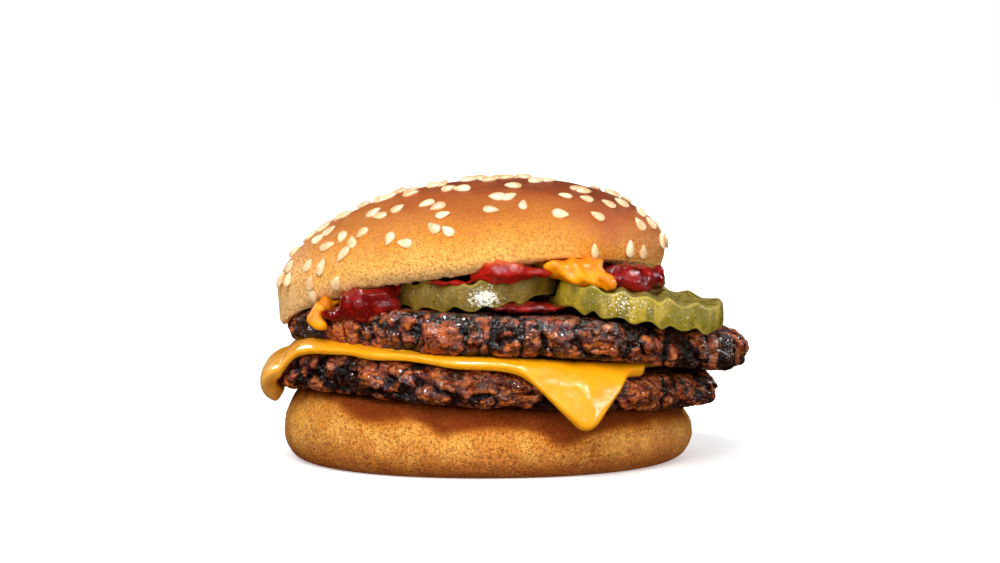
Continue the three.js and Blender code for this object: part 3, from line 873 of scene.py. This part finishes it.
def pickle_rings(own):
    """A slice's rings, and for each point how far it is peel and how far it is the slice's upper face, which
    carries painted shade of the crown.
    """
    a = circle(PICKLE_SPOKES)
    face, side = np.linspace(0.04, 0.955, 22), np.linspace(-0.75, 0.75, 14)
    corner = np.linspace(0, math.pi / 2, 7)
    outward = [0.98 + 0.02 * np.sin(corner), np.ones_like(side), 0.98 + 0.02 * np.cos(corner)]
    upward = [-1 + 0.2 * (1 - np.cos(corner)), side, 0.8 + 0.2 * np.sin(corner)]
    shares = np.concatenate([face, *outward, face[::-1]])[:, None]
    up = np.concatenate([-np.ones_like(face), *upward, np.ones_like(face)])[:, None]
    uneven = 1 + 0.012 * np.sin(3 * a + own.x) + 0.008 * np.sin(7 * a)
    flutes = 0.12 * np.cos(TAU * own.radius * np.cos(a) / own.pitch) * (1 - up * up)
    bulge = 0.5 * (1 - up * up) + flutes * smooth(0.9, 1, shares)
    r = (own.radius * shares * uneven) + bulge * smooth(0.9, 1, shares)
    x, y = own.x + r * np.cos(a), own.y + r * np.sin(a)
    top = pressed(own, x, y) if own is RIGHT_SLICE else own.face(1, x, y)
    bottom = own.face(-1, x, y)
    z = mix(bottom, top, 0.5 + 0.5 * up)
    rings = xyz(x, y, z)
    relief = 0.1 * ripple(rings, 2.5, 51) + 0.06 * ripple(rings, 0.9, 52)
    peel = smooth(0.985, 1.0, shares) * smooth(0.97, 0.7, np.abs(up))
    # Painted shade of the crown on the slices' upper faces.
    lid = smooth(0.99, 0.96, shares) * smooth(0.7, 1, up)
    return rings + facing(rings) * relief[..., None], peel, lid


class BURGER_OT_pickles(bpy.types.Operator):
    """Lays the two crinkle-cut pickle slices"""

    bl_idname = "burger.pickles"
    bl_label = "Pickles"

    def execute(self, context):
        pickle = settings(context, "pickle")
        # How ripe a slice is, and the share, middle and size of the painted highlight on it.
        for own, ripe, bright, middle, width in (
            (LEFT_SLICE, 0.7, 1.0, (-0.5, -44.5, 41.8), (3.4, 3, 2.4)),
            (RIGHT_SLICE, 0.0, 0.4, (31, -49, 40.5), (5.5, 4, 4)),
        ):
            rings, peel, lid = pickle_rings(own)
            # Painted highlight: a bright patch on each slice.
            frost = bright * np.exp(-np.sum(((rings - middle) / width) ** 2, axis=-1))
            name = own.name + "_pickle"
            flesh = self.brined(name + "_flesh", pickle, ripe)
            skin(name, rings, "pickle", ["pickle_" + own.name], flesh, peel=peel, lid=lid, frost=frost)
        return {"FINISHED"}

    @staticmethod
    def brined(name, pickle, ripe):
        s = Shader(name)
        band = s.cloud(3.4, 3, 0.6, (1, 1, 0.25))
        patch = s.cloud(1.6, 3, 0.65)
        speck = s.cloud(0.5, 3, 0.65)
        frost = s.mark("frost")
        base = s.layers(
            rgb("837414"),  # dull olive
            (s.band(band, 0.4, 0.6), pickle.peel),
            (s.band(band, 0.55, 0.7) * 0.7, rgb("cfb01a")),  # yellow streaks
            (s.band(patch, 0.48, 0.34) * 0.6, rgb("655810")),
            (ripe, rgb("72541a")),
            (s.band(s.mark("peel"), 0.8, 0.2) * 0.4, pickle.flesh),
            (s.mark("lid") * s.band(patch, 0.7, 0.35) * 0.65, rgb("423c10")),  # painted shade of the crown on the upper face
            (s.band(speck, 0.44, 0.34) * 0.5, rgb("3f380c")),
            (s.band(frost + 1.6 * (patch - 0.5), 0.55, 0.7) * 0.8, rgb("2c2a10")),  # dark ring round the painted highlight
            # painted highlight
            (s.band(frost + 3 * (speck - 0.5), 0.55, 0.6) * 0.95, rgb("f6f4e4")),
        )
        normal = s.bump(patch + speck, 0.3)
        wet = s.band(s.cloud(2.2, 3, 0.6), 0.42, 0.58)
        return s.finish(base, 0.6 - 0.42 * wet, normal, shine=0.3, soft=0.1)


# --- sauces
VOXEL = 0.5  # of the grid on which a sauce and its blobs melt into one skin


def pour(name, kind, blobs, depth, spacing, material):
    """A sauce layer and its blobs melted into one skin, with soft folds of a depth and a spacing."""
    shape = bmesh.new()
    shape.from_mesh(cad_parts[kind].data)
    for blob in blobs:
        egg = Matrix.Translation(Vector(blob[:3]) * MM) @ Matrix.Diagonal((*(v * MM for v in blob[3:]), 1))
        bmesh.ops.create_icosphere(shape, subdivisions=4, radius=1, matrix=egg)
    mesh = bpy.data.meshes.new(name)
    shape.to_mesh(mesh)
    shape.free()
    rough = put(name + "_rough", mesh)
    remesh = rough.modifiers.new("skin", "REMESH")
    remesh.mode, remesh.voxel_size = "VOXEL", VOXEL * MM
    soften = rough.modifiers.new("soften", "SMOOTH")
    soften.factor, soften.iterations = 0.5, 10
    melted = bpy.data.meshes.new_from_object(rough.evaluated_get(bpy.context.evaluated_depsgraph_get()))
    melted.name = name
    bpy.data.objects.remove(rough)
    count = len(melted.vertices)
    points, normals = np.empty(count * 3, np.float32), np.empty(count * 3, np.float32)
    melted.vertices.foreach_get("co", points)
    melted.vertices.foreach_get("normal", normals)
    points, normals = points.reshape(-1, 3) / MM, normals.reshape(-1, 3)
    loose = warped(points, 6, 2.5, 61)
    pleats = np.sin(TAU * (loose[:, 0] + 0.8 * loose[:, 2]) / spacing)
    push = depth * (0.6 * pleats + 0.7 * ripple(loose, spacing, 62) + 0.3 * ripple(points, spacing * 0.4, 63))
    melted.vertices.foreach_set("co", ((points + normals * push[:, None]) * MM).astype(np.float32).ravel())
    add_piece(name, melted, [kind], material)


class BURGER_OT_sauces(bpy.types.Operator):
    """Spreads the ketchup and the mustard"""

    bl_idname = "burger.sauces"
    bl_label = "Sauces"

    def execute(self, context):
        sauce = settings(context, "sauce")
        pour("ketchup_sauce", "ketchup", KETCHUP_BLOBS, 0.32, 4.6, self.wet_ketchup(sauce))
        pour("mustard_sauce", "mustard", MUSTARD_BLOBS, 0.45, 4.2, self.smooth_mustard(sauce))
        return {"FINISHED"}

    @staticmethod
    def wet_ketchup(sauce):
        s = Shader("wet_ketchup")
        across, height = s.coordinate("X"), s.coordinate("Z")
        # The middle lobe is brighter than the rest; below about 43 mm, under the left slice, it is kept dark
        # as painted shade. A thin orange film runs along its top.
        fresh = s.band(across, -0.016, -0.006) * s.band(across, 0.022, 0.012) * s.band(height, 0.041, 0.045)
        base = s.layers(
            sauce.ketchup,
            (s.band(s.cloud(4, 3, 0.55), 0.36, 0.56) * (1 - 0.65 * fresh), rgb("400504")),
            (0.5 - 0.5 * fresh, rgb("7c0f0c")),
            (s.band(height, 0.0485, 0.0505) * fresh * 0.7, rgb("e0601e")),
        )
        return s.finish(base, 0.05 + 0.08 * s.cloud(2, 2), s.bump(s.cloud(1, 2), 0.4), shine=0.24)

    @staticmethod
    def smooth_mustard(sauce):
        s = Shader("smooth_mustard")
        base = s.blend(s.band(s.cloud(3, 3), 0.4, 0.6), sauce.mustard, rgb("e07e02"))
        normal = s.bump(s.cloud(1.2, 2), 0.2)
        return s.finish(base, 0.32 + 0.1 * s.cloud(2, 2), normal, shine=0.18, soft=0.15)


# --- sesame seeds
# Seeds on the front, as the camera sees them: place in its view, on a grid of VIEW_SIZE with its start at
# the top left, and the direction of the pointed end in degrees anticlockwise from the right.
FRONT_SEEDS = [
    (355, 204, 0), (337, 217, 60), (347, 216, 30), (323, 228, 35), (330, 232, 35), (319, 240, 35),
    (343, 238, 280), (353, 243, 110), (363, 234, 245), (328, 247, 0), (344, 255, 240), (374, 214, 55),
    (380, 217, 160), (398, 210, 50), (390, 240, 260), (405, 244, 170), (427, 205, 225), (438, 208, 220),
    (443, 216, 30), (434, 229, 130), (448, 232, 130), (449, 190, 25), (462, 190, 175), (433, 183, 10),
    (442, 181, 80), (468, 176, 10), (478, 177, 170), (489, 178, 15), (497, 198, 165), (509, 198, 45),
    (491, 211, 345), (407, 186, 50), (401, 193, 100), (411, 195, 10), (395, 190, 10), (389, 196, 20),
    (378, 198, 20), (292, 255, 20), (291, 267, 60), (289, 280, 75), (282, 280, 75), (311, 238, 50),
    (309, 266, 75), (322, 268, 80), (311, 283, 60), (314, 296, 275), (337, 283, 60), (513, 187, 175),
    (536, 182, 15), (523, 206, 85), (565, 197, 165), (577, 190, 10), (583, 192, 350), (586, 200, 160),
    (608, 205, 145), (621, 204, 130), (612, 195, 150), (560, 215, 0), (597, 217, 145), (640, 213, 110),
    (639, 225, 110), (650, 224, 120), (594, 251, 92), (629, 249, 80), (642, 252, 90), (660, 262, 90),
    (507, 178, 10), (524, 177, 170), (547, 179, 5), (500, 175, 30),
]
VIEW_SIZE = (1000, 563)
CROWN_IN_VIEW = (490, 240)  # a place on the crown, which a seed just off its skyline moves towards
LOOK_AT = Vector((3.2, 0, 42.8)) * MM
SENSOR = 36  # width of the camera's sensor
SEED_LEAN = Vector((0, -0.4, 0.05))  # the front seeds stand a little off the crust, turned to the front
SEED_SINK = 0.38  # height of a seed's middle over the crust, as a share of its thickness

# Metres.
ABOVE = 0.1  # height that seeds are dropped from
SKYLINE = -0.009  # front seeds behind this lie along the skyline
SEED_APART = 0.0046
BACK_START = -0.004  # scattered seeds lie behind this or above TOP_START
TOP_START = 0.0665


def eye(stage):
    e = stage.elevation
    return LOOK_AT + Vector((0, -math.cos(e), math.sin(e))) * stage.distance


def ray(stage, x, y):
    """Direction from the camera through a place in its view."""
    e = stage.elevation
    forward, up = Vector((0, math.cos(e), -math.sin(e))), Vector((0, math.sin(e), math.cos(e)))
    step = SENSOR / VIEW_SIZE[0] / stage.lens
    across, rise = (x - VIEW_SIZE[0] / 2) * step, (VIEW_SIZE[1] / 2 - y) * step
    return (forward + Vector((1, 0, 0)) * across + up * rise).normalized()


def seed_spots(stage, crown, count, radius):
    """Place, outward direction and heading of each seed."""
    spots = []
    draw = np.random.default_rng(5)
    for x, y, heading in FRONT_SEEDS:
        hit = False
        while not hit:
            hit, place, normal, _ = crown.ray_cast(eye(stage), ray(stage, x, y))
            x, y = (mix(own, middle, 0.01) for own, middle in zip((x, y), CROWN_IN_VIEW))
        if place.y > SKYLINE:  # spread to front and back
            start = Vector((place.x, place.y + draw.uniform(-0.008, 0.006), ABOVE))
            _, place, normal, _ = crown.ray_cast(start, DOWN)
        heading = math.radians(heading)
        towards = Vector((math.cos(heading), 0, math.sin(heading)))
        spots.append((place, (normal + SEED_LEAN).normalized(), towards))
    golden = math.pi * (3 - math.sqrt(5))
    for i in range(count):
        a = i * golden + 0.5 * draw.uniform(-1, 1)
        h = math.radians(mix(86, 14, math.sqrt((i + 0.5) / count)) + draw.uniform(-4, 4))
        heading = Vector(draw.uniform(-1, 1, 3))
        out = Vector((math.cos(a) * math.cos(h), math.sin(a) * math.cos(h), 0)) * radius
        start = Vector((mix(CROWN_X, APEX_X, math.sin(h)) * MM, 0, ABOVE)) + out
        hit, place, normal, _ = crown.ray_cast(start, DOWN)
        alone = hit and all((place - other).length > SEED_APART for other, _, _ in spots)
        if alone and (place.y > BACK_START or place.z > TOP_START):
            spots.append((place, normal, heading))
    return spots


def ball(rows, spokes):
    """Points of a ball of radius 1, from rings and then its poles, and its faces."""
    around, up = math.pi / 2 + circle(spokes), np.linspace(math.pi, 0, rows + 2)[1:-1, None]
    rings = xyz(np.cos(around) * np.sin(up), np.sin(around) * np.sin(up), np.cos(up))
    faces = [side[1:] + side[:1] for side in closed_faces(rows, spokes)]  # each starts at its lower right
    return [*rings.reshape(-1, 3).tolist(), (0, 0, -1), (0, 0, 1)], faces


class BURGER_OT_seeds(bpy.types.Operator):
    """Scatters the sesame seeds over the top bun"""

    bl_idname = "burger.seeds"
    bl_label = "Sesame Seeds"

    def execute(self, context):
        seed, stage = settings(context, "seed"), settings(context, "stage")
        crown = bpy.data.objects["top_bun"]
        spots = seed_spots(stage, crown, seed.scattered, settings(context, "bun").crown_radius)
        draw = np.random.default_rng(8)
        corners, sides = ball(9, 18)
        points, faces = [], []
        for place, normal, heading in spots:
            along = (heading - normal * heading.dot(normal)).normalized()
            roll = Matrix.Rotation(draw.uniform(-0.16, 0.16), 3, along)
            lean = roll @ Matrix.Rotation(draw.uniform(-0.1, 0.1), 3, normal)
            axes = [lean @ v for v in (along, normal.cross(along), normal)]
            size = draw.uniform(0.88, 1.1) / 2
            scale = [seed.length * size, seed.width * size * draw.uniform(0.9, 1.1), seed.thickness * size]
            faces += [[len(points) + corner for corner in side] for side in sides]
            for z, x, y in corners:
                y *= 1 - 0.42 * x - 0.12 * x * x  # narrow at the pointed end
                point = sum((axis * (v * s) for axis, v, s in zip(axes, (x, y, z), scale)), Vector())
                points.append(place + normal * seed.thickness * SEED_SINK + point)
        mesh = bpy.data.meshes.new("sesame_seeds")
        mesh.from_pydata(points, [], faces)
        add_piece("sesame_seeds", mesh, ["bun_crown"], self.hull(seed))
        return {"FINISHED"}

    @staticmethod
    def hull(seed):
        s = Shader("sesame_hull")
        base = s.layers(
            seed.hull,
            (s.band(s.cloud(4.5, 2), 0.35, 0.65), rgb("e2b47c")),
            (s.band(s.cloud(0.8, 2), 0.55, 0.75) * 0.4, rgb("fff2d4")),
        )
        return s.finish(base, 0.42, s.bump(s.cloud(0.6, 2), 0.08), soft=0.12)


# --- stage
# Broad lights: where each shines from, how many degrees it fills, and its share of a setting's strength.
SUNS = (
    ("key", (-0.22, -0.85, 0.85), 35, 1, "key"),
    ("fill", (0.2, -1, 0), 60, 0.55, "fill"),
    ("side_left", (-1, -0.5, 0.05), 50, 0.65, "fill"),
    ("side_right", (1, -0.5, 0.02), 50, 0.75, "fill"),
    ("back", (0.2, 1, 0.7), 60, 0.6, "fill"),
)
# Small lights that only show in glints: place and size in metres, and share of the sparkle.
LAMPS = (
    ("sparkle_low_left", (-0.6, -0.4, 0.3), 0.05, 1),
    ("sparkle_high_left", (-0.3, -0.55, 0.55), 0.05, 1),
    ("sparkle_front", (0.06, -0.75, 0.3), 0.05, 1),
    ("sparkle_high_right", (0.4, -0.5, 0.5), 0.05, 1),
    ("sparkle_low_right", (0.7, -0.35, 0.25), 0.05, 1),
    ("overhead", (-0.02, -0.2, 0.72), 0.12, 5),
    ("rim_left", (-0.55, 0.45, 0.4), 0.12, 1),
    ("rim_right", (0.6, 0.4, 0.35), 0.12, 1),
)
LAMP_TARGET = Vector((0, 0, 0.03))
FLOOR_SIZE = 30  # metres each way from the middle
WHITE = (1, 1, 1, 1)


class BURGER_OT_stage(bpy.types.Operator):
    """Sets up the floor, the lights and the camera"""

    bl_idname = "burger.stage"
    bl_label = "Studio"

    def execute(self, context):
        stage = settings(context, "stage")
        self.lay_floor()
        for name, place, angle, share, setting in SUNS:
            light = bpy.data.lights.new(name, "SUN")
            light.energy, light.angle = share * getattr(stage, setting), math.radians(angle)
            self.aim(light, Vector(place), Vector()).visible_glossy = False
        for name, place, size, share in LAMPS:
            light = bpy.data.lights.new(name, "AREA")
            light.size, light.energy = size, share * stage.sparkle
            self.aim(light, Vector(place), LAMP_TARGET).visible_diffuse = False
        self.surround(context.scene)
        self.place_camera(context.scene, stage)
        return {"FINISHED"}

    @staticmethod
    def lay_floor():
        corners = [(x * FLOOR_SIZE, y * FLOOR_SIZE, 0) for x, y in ((-1, -1), (1, -1), (1, 1), (-1, 1))]
        mesh = bpy.data.meshes.new("studio_floor")
        mesh.from_pydata(corners, [], [(0, 1, 2, 3)])
        ground = put("studio_floor", mesh)
        ground.visible_diffuse = ground.visible_glossy = False  # it throws no light back up on the burger
        glow = {"Emission_Color": WHITE, "Emission_Strength": 0.35}
        mesh.materials.append(Shader("pale_floor").finish(WHITE, 0.9, shine=0.0, **glow))

    @staticmethod
    def surround(scene):
        """A white surround, dimmer for what it lights than for the camera."""
        world = bpy.data.worlds.new("studio")
        world.use_nodes = True
        nodes, links = world.node_tree.nodes, world.node_tree.links
        background = nodes["Background"]
        background.inputs["Color"].default_value = WHITE
        seen = nodes.new("ShaderNodeLightPath").outputs["Is Camera Ray"]
        strength = nodes.new("ShaderNodeMapRange")
        strength.inputs["To Min"].default_value = 0.3
        links.new(seen, strength.inputs["Value"])
        links.new(strength.outputs["Result"], background.inputs["Strength"])
        world.cycles_visibility.glossy = False
        scene.world = world
        scene.view_settings.view_transform = "Standard"

    @staticmethod
    def place_camera(scene, stage):
        lens = bpy.data.cameras.new("camera")
        lens.sensor_width, lens.lens = SENSOR, stage.lens
        lens.clip_start, lens.clip_end = 0.01, 100
        camera = put("camera", lens)
        camera.location = eye(stage)
        camera.rotation_euler = (math.pi / 2 - stage.elevation, 0, 0)
        scene.camera = camera

    @staticmethod
    def aim(light, place, target):
        """Puts a lamp at a place, turned towards a target."""
        lamp = put(light.name, light)
        lamp.location = place
        lamp.rotation_euler = (target - place).to_track_quat("-Z", "Y").to_euler()
        return lamp


# --- panel and running
OPERATORS = (
    BURGER_OT_stage,
    BURGER_OT_heel,
    BURGER_OT_patties,
    BURGER_OT_cheese,
    BURGER_OT_pickles,
    BURGER_OT_sauces,
    BURGER_OT_crown,
    BURGER_OT_seeds,
)


class BURGER_PT_sidebar(bpy.types.Panel):
    """Lists the steps that build the burger"""

    bl_idname = "BURGER_PT_sidebar"
    bl_label = "Double Cheeseburger"
    bl_space_type = "VIEW_3D"
    bl_region_type = "UI"
    bl_category = "Burger"

    def draw(self, context):
        for operator in OPERATORS:
            self.layout.operator(operator.bl_idname)


CLASSES = (*SETTINGS.values(), *OPERATORS, BURGER_PT_sidebar)


def register():
    for cls in CLASSES:
        bpy.utils.register_class(cls)
    for kind, group in SETTINGS.items():
        setattr(bpy.types.Scene, "burger_" + kind, PointerProperty(type=group))


def unregister():
    for kind in SETTINGS:
        delattr(bpy.types.Scene, "burger_" + kind)
    for cls in reversed(CLASSES):
        bpy.utils.unregister_class(cls)


def main():
    register()
    for operator in OPERATORS:
        group, name = operator.bl_idname.split(".")
        getattr(getattr(bpy.ops, group), name)()


if __name__ == "__main__":
    main()
